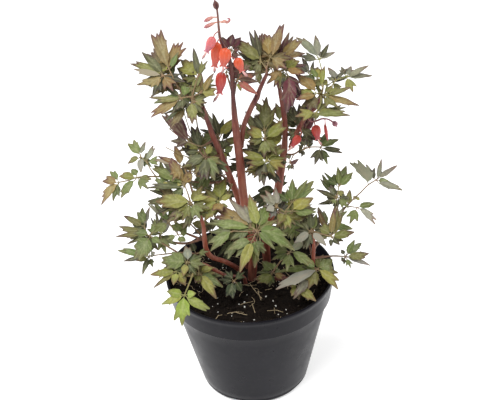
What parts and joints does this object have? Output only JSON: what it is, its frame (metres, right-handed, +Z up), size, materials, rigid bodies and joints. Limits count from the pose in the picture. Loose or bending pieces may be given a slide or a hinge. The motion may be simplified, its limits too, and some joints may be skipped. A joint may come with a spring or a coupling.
{
  "type": "potted bleeding heart plant",
  "caption": "Bleeding heart plant with divided leaves and a raceme of hanging heart flowers, growing in a round nursery pot of soil.",
  "frame": {"origin": "centre of the pot's flat underside, on the surface the pot stands on", "axes": "+Z up along the pot's axis, -Y towards the plant's front, +X to the right seen from the front"},
  "size_m": [0.2948, 0.2047, 0.4202],
  "materials": {
    "pot_plastic": "satin",
    "potting_mix": "matte",
    "stem_skin": "satin",
    "leaf_bronze": "matte",
    "leaf_olive": "matte",
    "leaf_green": "matte",
    "leaf_yellow": "matte",
    "leaf_dark": "matte",
    "leaf_plum": "matte",
    "leaf_lime": "matte",
    "leaf_shade": "matte",
    "leaf_rose": "matte",
    "flower_orange": "satin",
    "flower_red": "satin",
    "flower_pink": "satin",
    "bud_rose": "satin",
    "bud_mauve": "satin"
  },
  "bodies": {
    "root": {"pot": "pot_plastic", "soil": "potting_mix", "stem_main": "stem_skin", "stem_right_upper": "stem_skin", "stem_right": "stem_skin", "stem_right_outer": "stem_skin", "stem_left": "stem_skin", "stem_low_left": "stem_skin", "stem_low_front": "stem_skin", "stem_low_right": "stem_skin", "leaf_top_left": "leaf_bronze", "leaf_upper_left": "leaf_olive", "leaf_plum_left": "leaf_plum", "leaf_mid_left": "leaf_olive", "leaf_inner_left": "leaf_green", "leaf_top_mid": "leaf_bronze", "leaf_top_right": "leaf_bronze", "leaf_right_upper": "leaf_yellow", "leaf_dark_clump": "leaf_dark", "leaf_mid": "leaf_olive", "leaf_mid_front": "leaf_yellow", "leaf_right_small": "leaf_dark", "leaf_right_fan": "leaf_green", "leaf_central": "leaf_green", "leaf_tall_right": "leaf_green", "leaf_far_right": "leaf_green", "leaf_low_far_right": "leaf_green", "leaf_rim_right": "leaf_green", "leaf_front_right": "leaf_green", "leaf_soil_right": "leaf_yellow", "leaf_right_low": "leaf_dark", "leaf_left": "leaf_green", "leaf_far_left": "leaf_green", "leaf_low_left": "leaf_green", "leaf_left_edge": "leaf_green", "leaf_curled": "leaf_green", "leaf_left_hang": "leaf_yellow", "leaf_star": "leaf_lime", "leaf_rim_left": "leaf_green", "leaf_shade": "leaf_shade", "leaf_yellow": "leaf_yellow", "leaf_back_left": "leaf_olive", "leaf_back_mid": "leaf_bronze", "leaf_back_right": "leaf_green", "leaf_plum_top": "leaf_plum", "leaf_bract": "leaf_rose", "heart_pink": "flower_pink", "heart_orange_left": "flower_orange", "heart_orange_mid": "flower_orange", "heart_red": "flower_red", "heart_orange_right": "flower_orange", "heart_red_right": "flower_red", "heart_low_right": "flower_red", "bud_left_high": "bud_rose", "bud_left_low": "bud_rose", "bud_right_curl": "bud_rose", "raceme_right": "bud_mauve", "bud_slender": "flower_red"}
  },
  "joints": []
}
